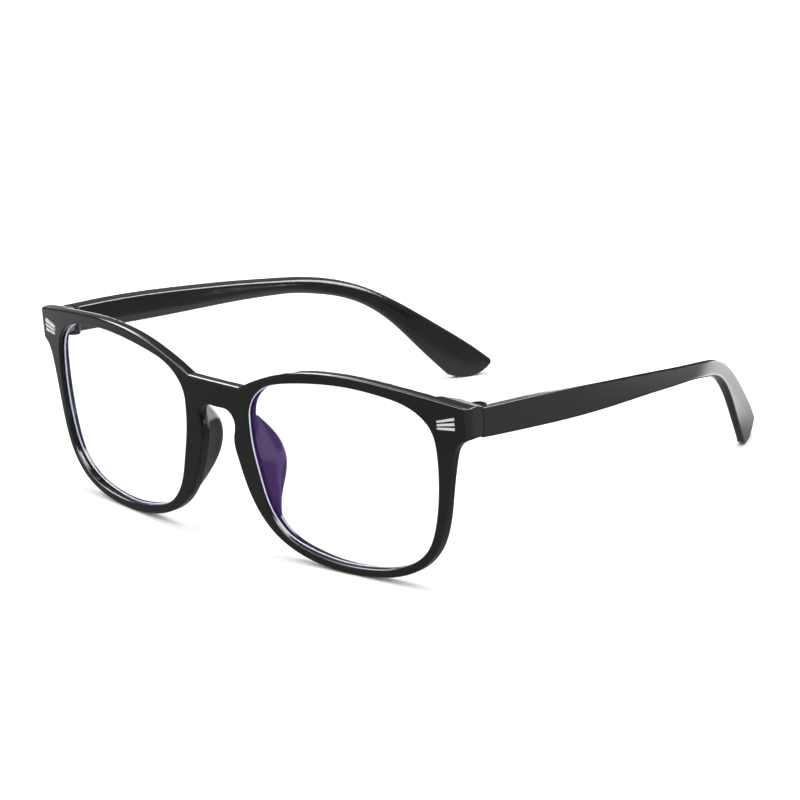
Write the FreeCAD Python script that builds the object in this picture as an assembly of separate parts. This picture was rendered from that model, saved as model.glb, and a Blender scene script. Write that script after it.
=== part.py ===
import FreeCAD, Part
import math
import os

from FreeCAD import Vector

# Full-rim acetate-style spectacles with moulded nose pads and plastic-barrel hinges.
# +X is the wearer's left, the front faces -Y, the temples run back to +Y, +Z is up.
# The model is drawn with Y = 0 at the lens plane, then moved so that the origin is
# the middle of the box on the surface that the glasses stand on.

# ---- front -------------------------------------------------------------------------
HALF_WIDTH = 71.0          # half of the overall front width
RIM_DEPTH = 3.1            # front to back through the rims and the bridge
BOW_RADIUS = 280.0         # the front is bent round this radius
BOW_Y = -1.08              # foremost line of the bow, at the foot of the rims
FRONT_TILT = 0.0617        # the front leans forward this much per mm of height
FRONT_EDGE = 0.5           # rounding round the front face
REAR_EDGE = 0.9            # rounding round the rear face
OPENING_EDGE = 0.3         # rounding round the lens openings

BRIDGE_TOP = 40.0
ENDPIECE_TOP = 44.1
ENDPIECE_FOOT = 37.2
ENDPIECE_CORNER = 2.2      # rounding of the front's outermost upright edges
ENDPIECE_X = 61.5          # where the end piece starts to grow back from the rim
ENDPIECE_INNER_Y = 5.5
ENDPIECE_OUTER_Y = 8.3
ENDPIECE_SLANT = 2.5       # its inner side leans outwards by this on the way to the seam
ENDPIECE_REAR_FOOT = 35.9
ENDPIECE_REAR_TOP = 43.5   # height of its top at the outer end of the seam
ENDPIECE_TOP_RISE = 0.27   # the top rises by this per mm forwards
ENDPIECE_TOP_LEAN = 0.09   # and by this per mm inwards
ENDPIECE_LIP = 1.0         # the front face keeps its full height this far back
ENDPIECE_DRAFT = 0.9       # the end piece narrows by this towards the seam
ENDPIECE_UNDERCUT = 0.32   # its underside rises by this per mm inwards
BRIDGE_FILLET = 1.0        # where the brows step up from the bridge

# Outlines as (X, Z) for the wearer's left half; the other half is their mirror image.
BROW = [(8.4, BRIDGE_TOP), (12, 41.8), (18, 44.2), (25, 46.2), (33, 47.3), (41, 47.5),
        (49, 47.0), (59, 45.9), (HALF_WIDTH, ENDPIECE_TOP), (HALF_WIDTH + 4, 43.5)]
LOWER = [(HALF_WIDTH + 4, 37.3), (HALF_WIDTH, ENDPIECE_FOOT), (67.4, 35.3), (65.8, 31.2),
         (64.5, 24), (63.2, 16.5), (60.9, 10), (56.6, 4.9), (50.5, 1.8), (43.5, 0.4), (36, 0),
         (28, 0.8), (20.5, 3.0), (14.6, 6.6), (10.5, 11.4), (7.9, 16.6), (6.1, 22), (5.2, 27),
         (5.75, 31), (4.4, 33.2), (0, 33.7)]
OPENING = [(10.4, 33), (12.1, 38), (16.2, 41.3), (22.5, 43.2), (31, 44.5), (40, 45.0),
           (49, 44.3), (56.5, 42.3), (60.8, 38.5), (62.2, 32), (62, 24), (60.8, 16),
           (57.9, 8.9), (51.8, 4.4), (43.5, 2.4), (34.5, 2.1), (26, 3.5), (19, 6.3),
           (14.7, 11.6), (12.4, 19), (10.8, 26.5)]

# ---- lenses ------------------------------------------------------------------------
LENS_RADIUS = 300.0        # gentle ball curve of a plano lens
LENS_THICK = 1.25
LENS_RECESS = 0.62        # lens centre behind the front face
LENS_GROOVE = 0.5          # how far the lens reaches into the rim all round
LENS_MIDDLE = (36.4, 23.5)

# ---- nose pads: height, X of the rim's nose side, X and Y of the pad's rear edge,
# ---- and X of the rim's lens side
PADS = [(32.0, 5.9, 8.4, 2.4, 10.2), (30, 5.5, 8.7, 4.3, 10.3), (27, 5.1, 9.3, 6.7, 10.8),
        (24, 5.6, 10.0, 8.1, 11.3), (21, 6.4, 10.6, 8.4, 11.9), (18, 7.3, 11.1, 7.7, 12.6),
        (15, 8.5, 11.7, 6.1, 13.4), (12, 10.0, 12.7, 4.2, 14.5), (9.5, 11.7, 14.1, 2.6, 16.0)]
PAD_ROUND = 0.9            # half the thickness of a pad near its rear edge
PAD_ROOT = 2.9             # how far the pad is sunk into the rim
PAD_SHOULDER = 1.5         # depth of the pad's widest part inside the rim
PAD_INSET = 0.12           # the pad starts this far inside the rim's nose side
PAD_FOREMOST = 0.7         # no part of the pad comes nearer to the front face than this

# ---- hinges --------------------------------------------------------------------------
SEAM_Y = 10.7              # rear face of the end piece, where the temple butts
SEAM_GAP = 0.28            # open line between the end piece and the temple
AXIS_X = 66.9
AXIS_Y = 12.7
BARREL_R = 1.85
KNUCKLE_LOW = 38.35        # underside of the front's own middle knuckle
KNUCKLE_HIGH = 41.15
KNUCKLE_GAP = 0.10         # end play above and below the middle knuckle
SCREW_R = 0.70
SCREW_HEAD_R = 1.15
SCREW_HEAD_H = 0.6
SCREW_RECESS = 0.5         # head below the top of the barrel
SCREW_HEAD_GAP = 0.1       # space round the head
CROSS_LENGTH = 1.5         # the cross in the head
CROSS_WIDTH = 0.3
CROSS_DEPTH = 0.35
RUNNING_FIT = 0.04         # radial clearance of the screw in the middle knuckle
INSERT_R = 1.15
INSERT_FOOT = 36.8
BARREL_TOP = 43.2
BARREL_FOOT = 36.45
SLOT_GAP = 0.15            # clearance round the middle knuckle
SLOT_INNER_X = 60.0        # the slot is open towards the wearer

# ---- temples -------------------------------------------------------------------------
# Stations from hinge to tip: Y and Z of the top edge, Y and Z of the foot edge,
# thickness, rounding of the corners, and how far the foot edge leans inwards.
TEMPLE_START = SEAM_Y + SEAM_GAP
STATIONS = [(TEMPLE_START, 43.35, TEMPLE_START, 36.4, 3.05, 0.45, 0),
            (17, 42.95, 17, 35.85, 3.1, 0.45, 0), (26, 42.35, 26, 35.1, 3.2, 0.45, 0),
            (40, 41.1, 40, 33.95, 3.3, 0.45, 0), (56, 39.3, 56, 33.0, 3.5, 0.5, 0),
            (70, 37.6, 70, 32.3, 3.6, 0.55, 0), (82, 35.95, 81, 31.5, 3.6, 0.6, 0),
            (91, 34.7, 89.2, 30.7, 3.6, 0.7, 0.1), (98.5, 33.3, 96, 29.4, 3.5, 0.8, 0.3),
            (105, 31.4, 102.1, 27.8, 3.4, 0.9, 0.5), (111, 28.8, 107.7, 25.4, 3.2, 0.95, 0.6),
            (117, 25.3, 112.7, 22.1, 3.0, 0.95, 0.7), (123, 21.1, 117.3, 17.9, 2.8, 0.9, 0.7),
            (129, 16.5, 121.7, 12.9, 2.6, 0.85, 0.7), (135, 11.8, 126.5, 7.2, 2.4, 0.8, 0.7),
            (141, 6.7, 131.3, 1.8, 2.3, 0.75, 0.7), (147, 1.5, 136.2, -3.5, 2.2, 0.7, 0.7)]
TEMPLE_WIDEST_X = 71.05    # outer face where the temples stand widest apart
TEMPLE_WIDEST_Y = 40.0
TEMPLE_BULGE = 0.00115     # the outer face curves in by this times distance squared
TOE_IN = 0.27              # extra inward slope behind the ear bend
TOE_IN_Y = 95.0
TOE_IN_SOFT = 4.0
TOP_FALL = 0.4             # inner top edge below the outer one
RIDGE = 0.6                # the inner face's ridge, as a part of the height
RIDGE_ROUND = 0.9
INNER_TOP_SOFTER = 1.6     # the inner top corner is this much rounder than the others
FOOT_BEVEL = 0.24          # part of the thickness that the inner face loses below the ridge
TIP_CENTRE = (135.8, 8.6)  # Y and Z of the middle of the rounded tip end
TIP_RADIUS = 8.6
TIP_SLOPE = 40.0           # direction of the tip below the horizontal, in degrees

# ---- decorative studs: fan of three bars as (X, low Z, high Z) at both ends ------------
STUD_INNER = (63.0, 38.8, 40.8)
STUD_OUTER = (67.2, 39.0, 42.0)
STUD_BARS = 3
STUD_SEAT = 0.45           # depth of the recess in the end piece
STUD_PLATE = 0.25
STUD_PROUD = 0.25
STUD_GAP = 0.16            # part of the fan's height between two bars
STUD_PIN_R = 0.45
STUD_PIN_LENGTH = 2.4
STUD_PIN_INSET = 0.9       # pins are this far in from both ends of the fan

BIG = 200.0                # larger than the whole object
ARC_SAG = 0.29             # middle of a rounded corner, as a part of its two tangents' sum


def front_y(x, z):
    """Y of the front face at a place on the bow."""
    bow = BOW_RADIUS - math.sqrt(BOW_RADIUS ** 2 - x ** 2)
    return BOW_Y + bow - FRONT_TILT * z


def mirrored(shape):
    """The same shape on the wearer's right."""
    return shape.mirror(Vector(0, 0, 0), Vector(1, 0, 0))


def both(shape):
    return [shape, mirrored(shape)]


def smooth_edge(points):
    curve = Part.BSplineCurve()
    curve.interpolate(Points=points)
    return curve.toShape()


def smooth_loop(points):
    curve = Part.BSplineCurve()
    curve.interpolate(Points=points, PeriodicFlag=True)
    return Part.Wire([curve.toShape()])


def upright(points, side=1):
    """Points (X, Z) as vectors on the plane Y = -BIG / 2."""
    return [Vector(side * x, -BIG / 2, z) for x, z in points]


def line(a, b):
    return Part.LineSegment(a, b).toShape()


def bowed_slab(front, rear):
    """The bent, tilted layer between two depths behind the front face."""
    foot = -10.0
    height = 80.0
    reach = 90.0

    def arc(depth):
        ends = [Vector(side * reach, front_y(reach, foot) + depth, foot) for side in (-1, 1)]
        middle = Vector(0, front_y(0, foot) + depth, foot)
        return Part.Arc(ends[0], middle, ends[1]).toShape()

    near = arc(front)
    far = arc(rear)
    sides = [line(near.Vertexes[i].Point, far.Vertexes[i].Point) for i in (0, 1)]
    face = Part.Face(Part.Wire(Part.__sortEdges__([near, far] + sides)))
    return face.extrude(Vector(0, -FRONT_TILT * height, height))


def front_outline():
    """Outer outline of both rims, the bridge and the end pieces, as one wire."""
    brow = smooth_edge(upright(BROW))
    bridge = line(*upright([(-BROW[0][0], BRIDGE_TOP), BROW[0]]))
    end = line(*upright([BROW[-1], LOWER[0]]))
    lower = Part.BSplineCurve()
    lower.interpolate(Points=upright(LOWER) + upright(reversed(LOWER[:-1]), -1))
    lowest = (36, 0)
    joints = upright([LOWER[0], lowest, LOWER[-1]]) + upright([lowest, LOWER[0]], -1)
    places = [lower.parameter(joint) for joint in joints]
    lower_edges = [lower.toShape(start, stop) for start, stop in zip(places, places[1:])]
    edges = [bridge] + both(brow) + both(end) + lower_edges
    return Part.Wire(Part.__sortEdges__(edges))


def through(wire):
    """A flat outline carried right through the front."""
    return Part.Face(wire).extrude(Vector(0, BIG, 0))


def grown(points, amount):
    """An outline of points scaled about its middle to be larger all round."""
    xs = [x for x, z in points]
    zs = [z for x, z in points]
    mid_x = (max(xs) + min(xs)) / 2
    mid_z = (max(zs) + min(zs)) / 2
    scale_x = 1 + 2 * amount / (max(xs) - min(xs))
    scale_z = 1 + 2 * amount / (max(zs) - min(zs))
    return [(mid_x + (x - mid_x) * scale_x, mid_z + (z - mid_z) * scale_z) for x, z in points]


def make_lens():
    x, z = LENS_MIDDLE
    inward = Vector(-x / BOW_RADIUS, 1, FRONT_TILT).normalize()
    crown = Vector(x, front_y(x, z) + LENS_RECESS, z)
    centre = crown + inward * LENS_RADIUS
    ball = Part.makeSphere(LENS_RADIUS, centre)
    hollow = Part.makeSphere(LENS_RADIUS - LENS_THICK, centre)
    blank = Part.Face(smooth_loop(upright(grown(OPENING, LENS_GROOVE)))).extrude(Vector(0, BIG, 0))
    return blank.common(ball).cut(hollow)


def pad_section(z, nose_x, rear_x, rear_y, lens_x):
    """Closed section of a nose pad at one height; its front part lies inside the rim."""
    rim_rear = front_y(nose_x, z) + RIM_DEPTH
    root = rim_rear - PAD_ROOT
    shoulder = rim_rear - PAD_SHOULDER
    side_y = 0.45 * shoulder + 0.55 * rear_y
    points = [(nose_x + PAD_INSET, root), (nose_x + PAD_INSET, shoulder),
              (0.55 * nose_x + 0.45 * rear_x - 0.2, side_y),
              (rear_x - 0.3, rear_y - 0.15), (rear_x + 0.6, rear_y - 0.2),
              (0.5 * lens_x + 0.5 * rear_x + PAD_ROUND, side_y),
              (lens_x - 0.1, shoulder), (lens_x - 0.5, root)]
    return smooth_loop([Vector(x, y, z) for x, y in points])


def make_pad():
    pad = Part.makeLoft([pad_section(*station) for station in PADS], True, False)
    return pad.cut(bowed_slab(-BIG / 4, PAD_FOREMOST))


def barrel(low, high, radius):
    return Part.makeCylinder(radius, high - low, Vector(AXIS_X, AXIS_Y, low), Vector(0, 0, 1))


def hinge_web(inner_x, far_x, low, high):
    """A block from just ahead of the seam back to the hinge axis."""
    ahead = SEAM_Y - 1
    plan = [(inner_x, ahead), (far_x, ahead), (far_x, AXIS_Y), (inner_x, AXIS_Y)]
    return plan_prism(plan, low, high - low)


def fan(depth_from, depth_to, low_part, high_part):
    """A slice of the stud's fan between two depths and two parts of its height."""
    corners = []
    for x, low, high in (STUD_INNER, STUD_OUTER):
        step = high - low
        corners.append((x, low + step * low_part, low + step * high_part))
    (xa, low_a, high_a), (xb, low_b, high_b) = corners
    points = upright([(xa, low_a), (xb, low_b), (xb, high_b), (xa, high_a), (xa, low_a)])
    return through(Part.makePolygon(points)).common(bowed_slab(depth_from, depth_to))


def stud_pins():
    z = (STUD_INNER[1] + STUD_INNER[2]) / 2
    pins = []
    for x in (STUD_INNER[0] + STUD_PIN_INSET, STUD_OUTER[0] - STUD_PIN_INSET):
        start = Vector(x, front_y(x, z) + STUD_SEAT - STUD_PLATE / 2, z)
        pins.append(Part.makeCylinder(STUD_PIN_R, STUD_PIN_LENGTH, start, Vector(0, 1, 0)))
    return pins


def make_stud():
    stud = fan(STUD_SEAT - STUD_PLATE, STUD_SEAT, 0, 1)
    pitch = (1 + STUD_GAP) / STUD_BARS
    for bar in range(STUD_BARS):
        low = bar * pitch
        high = (bar + 1) * pitch - STUD_GAP
        stud = stud.fuse(fan(-STUD_PROUD, STUD_SEAT - STUD_PLATE / 2, low, high))
    return stud.multiFuse(stud_pins()).removeSplitter()


def make_screw():
    """Cross-head machine screw that enters the barrel from above."""
    head_top = BARREL_TOP - SCREW_RECESS
    head = barrel(head_top - SCREW_HEAD_H, head_top, SCREW_HEAD_R)
    shank = barrel(INSERT_FOOT, head_top - SCREW_HEAD_H, SCREW_R)
    screw = head.fuse(shank)
    for width, length in ((CROSS_WIDTH, CROSS_LENGTH), (CROSS_LENGTH, CROSS_WIDTH)):
        corner = Vector(AXIS_X - width / 2, AXIS_Y - length / 2, head_top - CROSS_DEPTH)
        screw = screw.cut(Part.makeBox(width, length, 1, corner))
    return screw


def make_insert():
    sleeve = barrel(INSERT_FOOT, KNUCKLE_LOW - KNUCKLE_GAP, INSERT_R)
    return sleeve.cut(barrel(0, BARREL_TOP, SCREW_R))


def outer_x(y):
    """X of the temple's outer face in plan."""
    bend = TOE_IN_SOFT * math.log(1 + math.exp((y - TOE_IN_Y) / TOE_IN_SOFT))
    return TEMPLE_WIDEST_X - TEMPLE_BULGE * (y - TEMPLE_WIDEST_Y) ** 2 - TOE_IN * bend


def rounded_loop(corners):
    """Closed wire through corners given as (point, rounding), each corner an arc."""
    edges = []
    starts = []
    ends = []
    for i, (corner, rounding) in enumerate(corners):
        before = (corners[i - 1][0] - corner).normalize() * rounding
        after = (corners[(i + 1) % len(corners)][0] - corner).normalize() * rounding
        middle = corner + (before + after) * ARC_SAG
        starts.append(corner + before)
        ends.append(corner + after)
        edges.append(Part.Arc(starts[-1], middle, ends[-1]).toShape())
    joined = []
    for i, arc in enumerate(edges):
        joined += [arc, line(ends[i], starts[(i + 1) % len(corners)])]
    return Part.Wire(joined)


def temple_section(top_y, top_z, foot_y, foot_z, thickness, rounding, lean):
    top = Vector(outer_x(top_y), top_y, top_z)
    foot = Vector(outer_x(foot_y) - lean, foot_y, foot_z)
    down = foot - top
    height = down.Length
    down.normalize()
    slope = outer_x(top_y + 1) - outer_x(top_y) if top_y > TEMPLE_START else 0
    inward = Vector(-1, slope, 0).normalize()
    ridge = top + inward * thickness + down * height * RIDGE
    inner_top = top + inward * thickness + down * TOP_FALL
    inner_foot = foot + inward * thickness * (1 - FOOT_BEVEL)
    return rounded_loop([(top, rounding), (inner_top, rounding * INNER_TOP_SOFTER), (ridge, RIDGE_ROUND),
                         (inner_foot, rounding), (foot, rounding)])


def depth_of(point):
    """Distance of a point behind the front face."""
    return point.y - front_y(point.x, point.z)


def edges_at_depth(shape, depth):
    """Edges that lie all along their length at one depth behind the front face."""
    found = []
    for edge in shape.Edges:
        if all(abs(depth_of(point) - depth) < 0.05 for point in edge.discretize(7)):
            found.append(edge)
    return found


def plan_prism(points, foot, height):
    """An upright prism on a plan outline of (X, Y) points."""
    ring = [Vector(x, y, foot) for x, y in points + points[:1]]
    return Part.Face(Part.makePolygon(ring)).extrude(Vector(0, 0, height))


def above_endpiece():
    """What lies over the top of an end piece, which falls towards the seam."""
    roof = []
    for x, y in ((ENDPIECE_X, 0), (HALF_WIDTH + 5, 0), (HALF_WIDTH + 5, SEAM_Y + 1), (ENDPIECE_X, SEAM_Y + 1)):
        rise = ENDPIECE_TOP_RISE * (SEAM_Y - y) + ENDPIECE_TOP_LEAN * (HALF_WIDTH - x)
        roof.append(Vector(x, y, ENDPIECE_REAR_TOP + rise))
    above = Part.Face(Part.makePolygon(roof + roof[:1])).extrude(Vector(0, 0, BIG))
    return above.cut(bowed_slab(-BIG / 4, ENDPIECE_LIP))


def below_endpiece():
    """What lies under an end piece, whose underside rises inwards."""
    foot = ENDPIECE_REAR_FOOT
    inner = ENDPIECE_X - 1
    rise = ENDPIECE_UNDERCUT * (HALF_WIDTH - inner)
    corners = [(inner, foot - 1), (HALF_WIDTH, foot - 1), (HALF_WIDTH, foot), (inner, foot + rise)]
    return through(Part.makePolygon(upright(corners + corners[:1])))


def make_blank():
    """The bent layer that the rims are cut from, with the end pieces turned back."""
    beyond = HALF_WIDTH + 5
    inner_seam = ENDPIECE_X + ENDPIECE_SLANT
    plan = [(ENDPIECE_X, ENDPIECE_INNER_Y), (inner_seam, SEAM_Y), (beyond, SEAM_Y), (beyond, ENDPIECE_OUTER_Y)]
    block = plan_prism(plan, ENDPIECE_REAR_FOOT, ENDPIECE_TOP).cut(below_endpiece())
    layer = bowed_slab(0, RIM_DEPTH).multiFuse(both(block)).removeSplitter()
    wide = HALF_WIDTH + 0.2
    narrow = HALF_WIDTH - ENDPIECE_DRAFT
    rear = SEAM_Y + 1
    sides = plan_prism([(wide, -10), (narrow, rear), (-narrow, rear), (-wide, -10)], -BIG / 2, BIG)
    layer = layer.common(sides)
    corners = []
    for edge in layer.Edges:
        middle = edge.CenterOfMass
        if edge.Length > 60 and abs(middle.x) > HALF_WIDTH - 2 and abs(depth_of(middle)) < 0.3:
            corners.append(edge)
    return layer.makeFillet(ENDPIECE_CORNER, corners)


def make_front():
    rims = make_blank().common(through(front_outline()))
    steps = [edge for edge in rims.Edges if abs(abs(edge.CenterOfMass.x) - BROW[0][0]) < 0.1]
    rims = rims.makeFillet(BRIDGE_FILLET, steps)
    outer = [edge for edge in edges_at_depth(rims, 0) if abs(edge.CenterOfMass.x) < 60]
    rims = rims.makeFillet(FRONT_EDGE, outer)
    rear = [edge for edge in edges_at_depth(rims, RIM_DEPTH) if edge.Length > 12]
    rims = rims.makeFillet(REAR_EDGE, rear)
    for opening in both(through(smooth_loop(upright(OPENING)))):
        rims = rims.cut(opening)
    for depth in (0, RIM_DEPTH):
        loops = [edge for edge in edges_at_depth(rims, depth) if edge.Length > 100]
        rims = rims.makeFillet(OPENING_EDGE, loops)
    for tool in both(above_endpiece()):
        rims = rims.cut(tool)
    neck = hinge_web(AXIS_X - BARREL_R, AXIS_X + BARREL_R, KNUCKLE_LOW, KNUCKLE_HIGH)
    knuckle = neck.fuse(barrel(KNUCKLE_LOW, KNUCKLE_HIGH, BARREL_R))
    rims = rims.multiFuse(both(make_pad()) + both(knuckle))
    cutters = [make_lens(), barrel(KNUCKLE_LOW - 1, KNUCKLE_HIGH + 1, SCREW_R + RUNNING_FIT),
               fan(-2, STUD_SEAT, 0, 1)] + stud_pins()
    for cutter in cutters:
        for tool in both(cutter):
            rims = rims.cut(tool)
    return rims


def beyond_tip():
    """Everything past the rounded end of the temple tip."""
    y, z = TIP_CENTRE
    side = BIG / 2
    outside = Part.makeBox(side, side, side, Vector(0, 0, -side / 2))
    outside.rotate(Vector(0, 0, 0), Vector(1, 0, 0), -TIP_SLOPE)
    outside.translate(Vector(0, y, z))
    return outside.cut(Part.makeCylinder(TIP_RADIUS, side, Vector(0, y, z), Vector(1, 0, 0)))


def make_temple():
    blade = Part.makeLoft([temple_section(*station) for station in STATIONS], True, False)
    temple = blade.cut(beyond_tip()).fuse(barrel(BARREL_FOOT, BARREL_TOP, BARREL_R))
    slot_low = KNUCKLE_LOW - KNUCKLE_GAP
    slot_high = KNUCKLE_HIGH + KNUCKLE_GAP
    slot_r = BARREL_R + SLOT_GAP
    head_seat = BARREL_TOP - SCREW_RECESS - SCREW_HEAD_H
    cutters = [hinge_web(SLOT_INNER_X, AXIS_X + slot_r, slot_low, slot_high),
               barrel(slot_low, slot_high, slot_r),
               barrel(head_seat, BARREL_TOP + 1, SCREW_HEAD_R + SCREW_HEAD_GAP),
               barrel(slot_low, head_seat + 0.1, SCREW_R),
               barrel(INSERT_FOOT, slot_low + 0.1, INSERT_R)]
    for cutter in cutters:
        temple = temple.cut(cutter)
    return temple


front = make_front()
temple = make_temple()
pairs = {"temple": temple, "lens": make_lens(), "stud": make_stud(),
         "hinge_screw": make_screw(), "hinge_insert": make_insert()}
nodes = {"front_frame": front}
for name, shape in pairs.items():
    nodes[name + "_left"] = shape
    nodes[name + "_right"] = mirrored(shape)

middle_y = (front.optimalBoundingBox().YMin + temple.optimalBoundingBox().YMax) / 2
print("moved by", round(-middle_y, 4), "hinge axis at", AXIS_X, round(AXIS_Y - middle_y, 4))
os.makedirs("parts", exist_ok=True)
for name, shape in nodes.items():
    shape.translate(Vector(0, -middle_y, 0))
    print(name, "valid", shape.isValid(), "solids", len(shape.Solids), "volume", round(shape.Volume, 2))
    shape.exportStep("parts/" + name + ".step")
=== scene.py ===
import math

import bmesh
import bpy
from mathutils import Matrix, Vector


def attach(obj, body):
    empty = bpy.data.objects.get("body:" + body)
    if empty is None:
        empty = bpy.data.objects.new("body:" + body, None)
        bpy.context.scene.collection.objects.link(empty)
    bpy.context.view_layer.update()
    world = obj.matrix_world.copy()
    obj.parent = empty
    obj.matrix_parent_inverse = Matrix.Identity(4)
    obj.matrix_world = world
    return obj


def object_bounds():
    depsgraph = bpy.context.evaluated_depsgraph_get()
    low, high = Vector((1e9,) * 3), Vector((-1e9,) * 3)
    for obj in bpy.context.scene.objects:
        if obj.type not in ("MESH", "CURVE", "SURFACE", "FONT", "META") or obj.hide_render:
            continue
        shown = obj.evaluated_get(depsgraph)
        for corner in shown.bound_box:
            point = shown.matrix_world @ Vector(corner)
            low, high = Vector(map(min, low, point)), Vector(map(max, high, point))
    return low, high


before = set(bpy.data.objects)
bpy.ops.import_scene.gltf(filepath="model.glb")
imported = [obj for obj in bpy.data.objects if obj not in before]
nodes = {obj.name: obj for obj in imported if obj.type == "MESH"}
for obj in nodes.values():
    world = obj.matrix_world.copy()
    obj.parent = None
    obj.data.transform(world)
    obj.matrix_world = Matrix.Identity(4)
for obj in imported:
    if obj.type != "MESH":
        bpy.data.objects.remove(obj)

cad_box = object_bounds()

# All lengths are in metres.
FOREMOST_Y = cad_box[0][1]              # tip of the brows, the foremost point of the glasses
FRONT_LINE = FOREMOST_Y + 0.002435      # foremost line of the bowed front at floor height, along Y
FRONT_BOW_RADIUS = 0.28
FRONT_TILT = 0.0617                     # the front leans forward this much per unit of height

# ---- camera ----
AZIMUTH = 43.176                        # degrees
ELEVATION = 16.855
ROLL = -1.587
DISTANCE = 0.72947
FOCAL_LENGTH = 133.46                   # millimetres, on a sensor 36 wide
TARGET = (0, FOREMOST_Y + 0.063515, 0.020)

# ---- the fine bevel round each lens, coloured pale as a painted glint ----
BEVEL_STEPS = 160
BEVEL_INSET = 0.00042                   # how far in from the lens's edge it starts
BEVEL_WIDTH = 0.00028
BEVEL_FORE = 0.00025                    # its outer side rises this far ahead of its seat
BEVEL_LIP = 0.00003
BEVEL_REAR = 0.00004
BEVEL_DEEPEST = 0.00105                 # towards the temples the seat lies this much further back
BEVEL_NEAR_X = 0.025                    # the seat starts to fall back this far from the middle
BEVEL_FALL = 0.030


# ---- node helpers ----------------------------------------------------------------------
class Tree:
    """A few short calls for building a node tree."""

    def __init__(self, tree):
        self.tree = tree
        tree.nodes.clear()

    def add(self, kind, **values):
        node = self.tree.nodes.new(kind)
        for key, value in values.items():
            setattr(node, key, value)
        return node

    def link(self, output, target):
        self.tree.links.new(output, target)

    def math(self, operation, a, b):
        node = self.add("ShaderNodeMath", operation=operation)
        for slot, value in enumerate((a, b)):
            if isinstance(value, (int, float)):
                node.inputs[slot].default_value = value
            else:
                self.link(value, node.inputs[slot])
        return node.outputs[0]

    def span(self, value, low, high, to_low, to_high):
        """Carries a value from one range to another, softly at both ends."""
        node = self.add("ShaderNodeMapRange", interpolation_type="SMOOTHSTEP")
        self.link(value, node.inputs["Value"])
        for name, number in (("From Min", low), ("From Max", high), ("To Min", to_low), ("To Max", to_high)):
            node.inputs[name].default_value = number
        return node.outputs[0]

    def ramp(self, value, *stops):
        node = self.add("ShaderNodeValToRGB")
        self.link(value, node.inputs[0])
        for element, (place, colour) in zip(node.color_ramp.elements, stops):
            element.position = place
            element.color = (*colour, 1)
        return node.outputs[0]

    def blend(self, factor, a, b):
        """A mix of two colours, of which either may be a constant."""
        node = self.add("ShaderNodeMix", data_type="RGBA")
        self.link(factor, node.inputs["Factor"])
        for socket, colour in ((node.inputs[6], a), (node.inputs[7], b)):
            if isinstance(colour, tuple):
                socket.default_value = (*colour, 1)
            else:
                self.link(colour, socket)
        return node.outputs[2]

    def place(self):
        """X, Y and Z in the object's own coordinates."""
        split = self.add("ShaderNodeSeparateXYZ")
        self.link(self.add("ShaderNodeTexCoord").outputs["Object"], split.inputs[0])
        return split.outputs

    def noise(self, scale, detail=3.0, stretch=(1, 1, 1)):
        mapping = self.add("ShaderNodeMapping")
        mapping.inputs["Scale"].default_value = stretch
        self.link(self.add("ShaderNodeTexCoord").outputs["Object"], mapping.inputs["Vector"])
        node = self.add("ShaderNodeTexNoise")
        node.inputs["Scale"].default_value = scale
        node.inputs["Detail"].default_value = detail
        self.link(mapping.outputs[0], node.inputs["Vector"])
        return node.outputs["Fac"]

    def bump(self, height, strength, distance):
        node = self.add("ShaderNodeBump")
        node.inputs["Strength"].default_value = strength
        node.inputs["Distance"].default_value = distance
        self.link(height, node.inputs["Height"])
        return node.outputs[0]

    def mirrored_only(self):
        """1 for rays that a glossy surface sends out, 0 for all others."""
        path = self.add("ShaderNodeLightPath")
        return self.math("SUBTRACT", path.outputs["Is Glossy Ray"], path.outputs["Is Transmission Ray"])


def material(name):
    made = bpy.data.materials.new(name)
    made.use_nodes = True
    tree = Tree(made.node_tree)
    shader = tree.add("ShaderNodeBsdfPrincipled")
    tree.link(shader.outputs[0], tree.add("ShaderNodeOutputMaterial").inputs[0])
    return made, tree, shader


# ---- materials ---------------------------------------------------------------------------
def gloss_plastic(name, dark, light, rough, wave=0.10):
    """Injection-moulded black plastic: deep gloss, faint flow marks, very fine ripple and dust."""
    made, tree, shader = material(name)
    flow = tree.noise(38, 4, (1, 0.35, 1))
    colour = tree.ramp(flow, (0.3, dark), (0.7, light))
    tree.link(colour, shader.inputs["Base Color"])
    fine = tree.noise(900, 2)
    tree.link(tree.span(fine, 0.3, 0.75, rough, rough + 0.05), shader.inputs["Roughness"])
    ripple = tree.noise(140, 2)
    tree.link(tree.bump(ripple, wave, 0.00006), shader.inputs["Normal"])
    shader.inputs["IOR"].default_value = 1.49
    shader.inputs["Specular IOR Level"].default_value = 0.5
    return made


def metal(name, dark, light, rough):
    """Small machined hardware with a fine grain."""
    made, tree, shader = material(name)
    grain = tree.noise(900, 3)
    tree.link(tree.ramp(grain, (0.3, dark), (0.7, light)), shader.inputs["Base Color"])
    tree.link(tree.span(grain, 0.25, 0.75, rough, rough + 0.12), shader.inputs["Roughness"])
    tree.link(tree.bump(grain, 0.08, 0.00003), shader.inputs["Normal"])
    shader.inputs["Metallic"].default_value = 1.0
    return made


def depth_behind_front(tree):
    """Distance behind the bowed, tilted front face."""
    x, y, z = tree.place()
    bow = tree.math("DIVIDE", tree.math("MULTIPLY", x, x), 2 * FRONT_BOW_RADIUS)
    lean = tree.math("MULTIPLY", z, -FRONT_TILT)
    face = tree.math("ADD", tree.math("ADD", bow, lean), FRONT_LINE)
    return tree.math("SUBTRACT", y, face)


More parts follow.
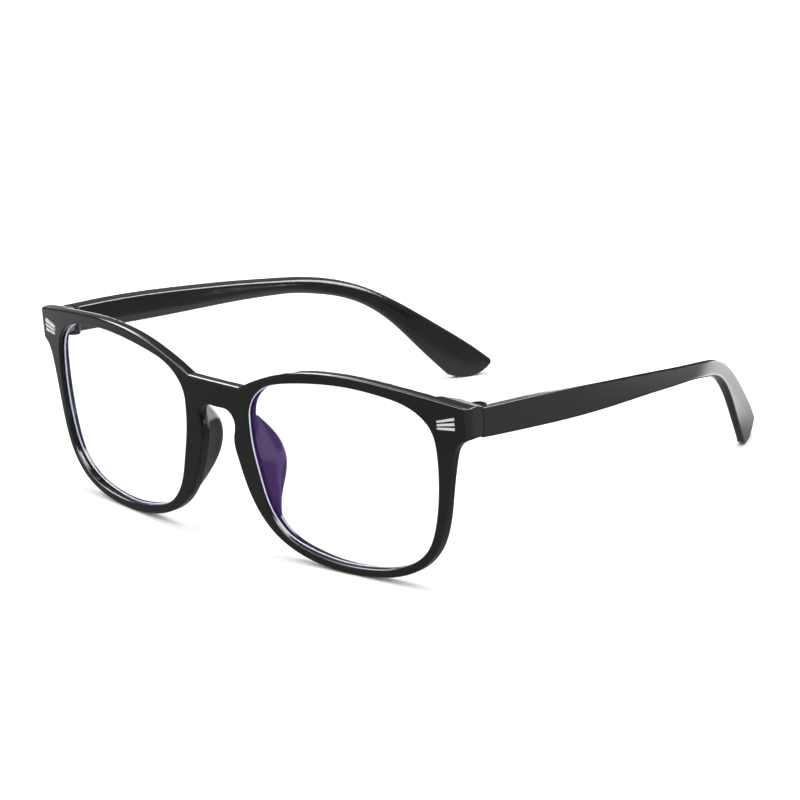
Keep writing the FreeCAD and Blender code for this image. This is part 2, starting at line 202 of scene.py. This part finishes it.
def stud_metal(name):
    """Polished bars; the grooves between them are painted dark as shade, by depth behind the front face."""
    made, tree, shader = material(name)
    bright = tree.span(depth_behind_front(tree), 0.00006, 0.00014, 1.0, 0.0)
    grain = tree.noise(700, 2, (1, 1, 5))
    polished = tree.ramp(grain, (0.3, (0.82, 0.82, 0.84)), (0.7, (0.93, 0.93, 0.94)))
    # painted shade: near-black colour where the surface lies deeper than the bar tops, standing for the shade
    # in the grooves
    painted_groove_shade = (0.012, 0.012, 0.012)
    tree.link(tree.blend(bright, painted_groove_shade, polished), shader.inputs["Base Color"])
    shader.inputs["Metallic"].default_value = 0.55
    tree.link(tree.span(grain, 0.3, 0.8, 0.28, 0.40), shader.inputs["Roughness"])
    return made


def coated_lens(name):
    """Clear resin with an uneven anti-reflection coating, violet by the nose and slate further out."""
    made, tree, shader = material(name)
    drift = tree.noise(30, 2)
    violet = tree.ramp(drift, (0.3, (0.22, 0.045, 0.62)), (0.7, (0.34, 0.10, 0.80)))
    slate = (0.10, 0.12, 0.20)
    x, y, z = tree.place()
    outward = tree.span(tree.math("ABSOLUTE", x, 0), 0.020, 0.045, 0.0, 1.0)
    tree.link(tree.blend(outward, violet, slate), shader.inputs["Base Color"])
    smear = tree.noise(75, 3)
    tree.link(tree.span(smear, 0.3, 0.8, 0.02, 0.05), shader.inputs["Roughness"])
    shader.inputs["IOR"].default_value = 1.5
    shader.inputs["Alpha"].default_value = 0.06
    return made


def painted_glint_edge(name):
    """Painted glint: a pale colour with a cool cast that stands for the light caught along the lens edge, with
    a fine grit in tone and roughness.
    """
    made, tree, shader = material(name)
    grit = tree.noise(1500, 2)
    painted_glint_tone = tree.ramp(grit, (0.3, (0.50, 0.56, 0.74)), (0.7, (0.78, 0.83, 0.95)))
    tree.link(painted_glint_tone, shader.inputs["Base Color"])
    tree.link(tree.span(grit, 0.3, 0.8, 0.18, 0.30), shader.inputs["Roughness"])
    shader.inputs["IOR"].default_value = 1.5
    return made


def dress(node, made, bevel=0.0):
    """Gives a CAD node its material and, where asked, softly broken edges."""
    shown = nodes[node]
    shown.data.materials.clear()
    shown.data.materials.append(made)
    if bevel:
        modifier = shown.modifiers.new("edges", "BEVEL")
        modifier.width = bevel
        modifier.segments = 2
        modifier.limit_method = "ANGLE"
        modifier.angle_limit = math.radians(50)
        modifier.harden_normals = True


black = gloss_plastic("frame_black", (0.004, 0.004, 0.0036), (0.008, 0.008, 0.007), 0.05)
temple_black = gloss_plastic("temple_black", (0.005, 0.005, 0.0045), (0.010, 0.010, 0.009), 0.07)
chrome = stud_metal("stud_chrome")
steel = metal("screw_steel", (0.50, 0.50, 0.52), (0.66, 0.66, 0.67), 0.25)
brass = metal("insert_brass", (0.60, 0.43, 0.20), (0.74, 0.57, 0.30), 0.25)
lens_clear = coated_lens("lens_clear")
# painted glint: a pale colour for the fine bevels round the lenses
painted_glint_glass = painted_glint_edge("lens_edge_painted_glint")

dress("front_frame", black)
for side in ("left", "right"):
    dress("temple_" + side, temple_black, 0.0003)
    dress("lens_" + side, lens_clear)
    dress("stud_" + side, chrome, 0.00008)
    dress("hinge_screw_" + side, steel)
    dress("hinge_insert_" + side, brass)


# ---- the lens-edge bevels, coloured pale as a painted glint --------------------------------
def rim_of_lens(node):
    """The points, in order, of the sharp loop round the front of a lens, and the lens's middle."""
    mesh = bmesh.new()
    mesh.from_mesh(nodes[node].data)
    bmesh.ops.remove_doubles(mesh, verts=mesh.verts, dist=1e-6)
    middle = sum((v.co for v in mesh.verts), Vector()) / len(mesh.verts)
    loop = {}
    for edge in mesh.edges:
        if len(edge.link_faces) != 2 or edge.calc_face_angle() < math.radians(50):
            continue
        if any(face.normal.y < -0.8 for face in edge.link_faces):
            a, b = edge.verts
            loop.setdefault(a.index, []).append(b.index)
            loop.setdefault(b.index, []).append(a.index)
    mesh.verts.ensure_lookup_table()
    start = next(iter(loop))
    order = [start]
    before = None
    while True:
        onward = [i for i in loop[order[-1]] if i != before]
        before = order[-1]
        if not onward or onward[0] == start:
            break
        order.append(onward[0])
    points = [mesh.verts[i].co.copy() for i in order]
    mesh.free()
    return points, middle


def bevel_ring(point, along, middle):
    """The four corners of the bevel's section at one point of the lens's rim."""
    rearward = Vector((0, 1, 0))
    inward = middle - point
    inward -= along * inward.dot(along)
    inward.y = 0
    inward.normalize()
    out = min(1, max(0, (abs(point.x) - BEVEL_NEAR_X) / BEVEL_FALL))
    depth = BEVEL_DEEPEST * out * out * (3 - 2 * out)
    seat = point + inward * BEVEL_INSET + rearward * depth
    inner = seat + inward * BEVEL_WIDTH
    return [seat + rearward * BEVEL_REAR, inner + rearward * BEVEL_REAR,
            inner - rearward * BEVEL_LIP, seat - rearward * BEVEL_FORE]


def lens_bevel(side):
    """The fine bevel where a lens meets its rim, coloured pale as a painted glint of the lens edge."""
    points, middle = rim_of_lens("lens_" + side)
    points = points[::max(1, len(points) // BEVEL_STEPS)]
    mesh = bmesh.new()
    rings = []
    for index, point in enumerate(points):
        along = (points[(index + 1) % len(points)] - points[index - 1]).normalized()
        rings.append([mesh.verts.new(corner) for corner in bevel_ring(point, along, middle)])
    for index, ring in enumerate(rings):
        other = rings[(index + 1) % len(rings)]
        for k in range(len(ring)):
            n = (k + 1) % len(ring)
            mesh.faces.new((ring[k], ring[n], other[n], other[k]))
    bmesh.ops.recalc_face_normals(mesh, faces=mesh.faces)
    data = bpy.data.meshes.new("lens_bevel_glint_" + side)
    mesh.to_mesh(data)
    mesh.free()
    for face in data.polygons:
        face.use_smooth = True
    piece = bpy.data.objects.new("lens_bevel_glint_" + side, data)
    bpy.context.scene.collection.objects.link(piece)
    data.materials.append(painted_glint_glass)
    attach(piece, "front")


for side in ("left", "right"):
    lens_bevel(side)


# ---- floor, camera and light -------------------------------------------------------------
def stage_material():
    """Plain white paper to the camera. In glossy reflections it glows though it is no lamp, as painted light:
    dim in front, brighter behind and to the sides, with a bright spot by the tip of a temple.
    """
    made = bpy.data.materials.new("paper")
    made.use_nodes = True
    tree = Tree(made.node_tree)
    coordinates = tree.add("ShaderNodeTexCoord").outputs["Object"]
    split = tree.add("ShaderNodeSeparateXYZ")
    tree.link(coordinates, split.inputs[0])
    x, y, z = split.outputs
    behind = tree.math("MULTIPLY", tree.span(y, 0.06, 0.15, 0.28, 2.6), tree.span(x, 0.068, 0.100, 1.0, 0.30))
    left = tree.span(x, -0.24, -0.06, 0.45, 0.0)
    right = tree.span(x, 0.06, 0.15, 0.0, 0.45)
    inside = tree.math("MULTIPLY", tree.span(y, -0.05, 0.0, 0.0, 1.0), tree.span(x, -0.045, -0.015, 0.55, 0.0))
    to_tip = tree.add("ShaderNodeVectorMath", operation="DISTANCE")
    tree.link(coordinates, to_tip.inputs[0])
    to_tip.inputs[1].default_value = (0.070, 0.092, 0)
    # painted light: a glowing spot on the floor by a temple tip, seen only in reflections, which puts a bright
    # reflection on the tip
    by_tip = tree.span(to_tip.outputs["Value"], 0.006, 0.028, 3.2, 0.0)
    sides = tree.math("ADD", tree.math("ADD", left, right), tree.math("ADD", inside, by_tip))
    glow = tree.add("ShaderNodeEmission")
    tree.link(tree.math("ADD", behind, sides), glow.inputs["Strength"])
    paper = tree.add("ShaderNodeBsdfDiffuse")
    paper.inputs["Color"].default_value = (0.93, 0.93, 0.93, 1)
    mix = tree.add("ShaderNodeMixShader")
    tree.link(tree.mirrored_only(), mix.inputs[0])
    tree.link(paper.outputs[0], mix.inputs[1])
    tree.link(glow.outputs[0], mix.inputs[2])
    tree.link(mix.outputs[0], tree.add("ShaderNodeOutputMaterial").inputs[0])
    return made


def make_floor():
    clearance = 0.00002
    bpy.ops.mesh.primitive_plane_add(size=8, location=(0, 0, cad_box[0][2] - clearance))
    floor = bpy.context.object
    floor.name = "floor"
    floor.data.materials.append(stage_material())


def make_camera():
    azimuth = math.radians(AZIMUTH)
    elevation = math.radians(ELEVATION)
    roll = math.radians(ROLL)
    back = Vector((math.sin(azimuth) * math.cos(elevation), -math.cos(azimuth) * math.cos(elevation),
                   math.sin(elevation)))
    right = Vector((math.cos(azimuth), math.sin(azimuth), 0))
    up = back.cross(right)
    across = right * math.cos(roll) + up * math.sin(roll)
    upward = up * math.cos(roll) - right * math.sin(roll)
    data = bpy.data.cameras.new("camera")
    data.lens = FOCAL_LENGTH
    data.sensor_width = 36
    data.shift_x = -0.0033
    data.shift_y = 0.0009
    data.clip_start = 0.01
    camera = bpy.data.objects.new("camera", data)
    turn = Matrix((across, upward, back)).transposed().to_4x4()
    camera.matrix_world = Matrix.Translation(Vector(TARGET) + back * DISTANCE) @ turn
    bpy.context.scene.collection.objects.link(camera)
    bpy.context.scene.camera = camera


def area_light(name, place, aim, size, power):
    data = bpy.data.lights.new(name, "AREA")
    data.shape = "RECTANGLE"
    data.size, data.size_y = size
    data.energy = power
    lamp = bpy.data.objects.new(name, data)
    lamp.location = place
    lamp.rotation_euler = (Vector(aim) - Vector(place)).to_track_quat("-Z", "Y").to_euler()
    bpy.context.scene.collection.objects.link(lamp)


def studio_sky():
    """Even light all round. In reflections it is dim but for a bright ring high up, which is
    closed behind and to the left so that the brows stay dark by the bridge."""
    even = 1.15
    dim = 0.26
    ring = 13.0
    world = bpy.data.worlds.new("studio")
    bpy.context.scene.world = world
    world.use_nodes = True
    tree = Tree(world.node_tree)
    direction = tree.add("ShaderNodeSeparateXYZ")
    tree.link(tree.add("ShaderNodeTexCoord").outputs["Generated"], direction.inputs[0])
    x, y, z = direction.outputs
    rising = tree.span(z, 0.52, 0.62, 0.0, ring)
    fading = tree.span(z, 0.72, 0.86, 0.0, ring - 0.5)
    closed = tree.math("MULTIPLY", tree.span(y, 0.30, 0.60, 0.0, 1.0), tree.span(x, -0.10, 0.08, 1.0, 0.0))
    band = tree.math("MULTIPLY", tree.math("SUBTRACT", rising, fading), tree.math("SUBTRACT", 1.0, closed))
    strength = tree.add("ShaderNodeMix", data_type="FLOAT")
    tree.link(tree.mirrored_only(), strength.inputs["Factor"])
    strength.inputs["A"].default_value = even
    tree.link(tree.math("ADD", band, dim), strength.inputs["B"])
    light = tree.add("ShaderNodeBackground")
    light.inputs["Color"].default_value = (1, 1, 1, 1)
    tree.link(strength.outputs["Result"], light.inputs["Strength"])
    tree.link(light.outputs[0], tree.add("ShaderNodeOutputWorld").inputs[0])


make_floor()
make_camera()
area_light("top", (0.1, 0.1, 1.1), (0, 0, 0), (0.5, 0.4), 5)
area_light("key_left", (-0.75, -0.33, 0.85), (0, 0, 0.02), (0.35, 0.25), 2.5)
studio_sky()
bpy.context.scene.view_settings.view_transform = "Standard"
bpy.context.scene.view_settings.look = "None"
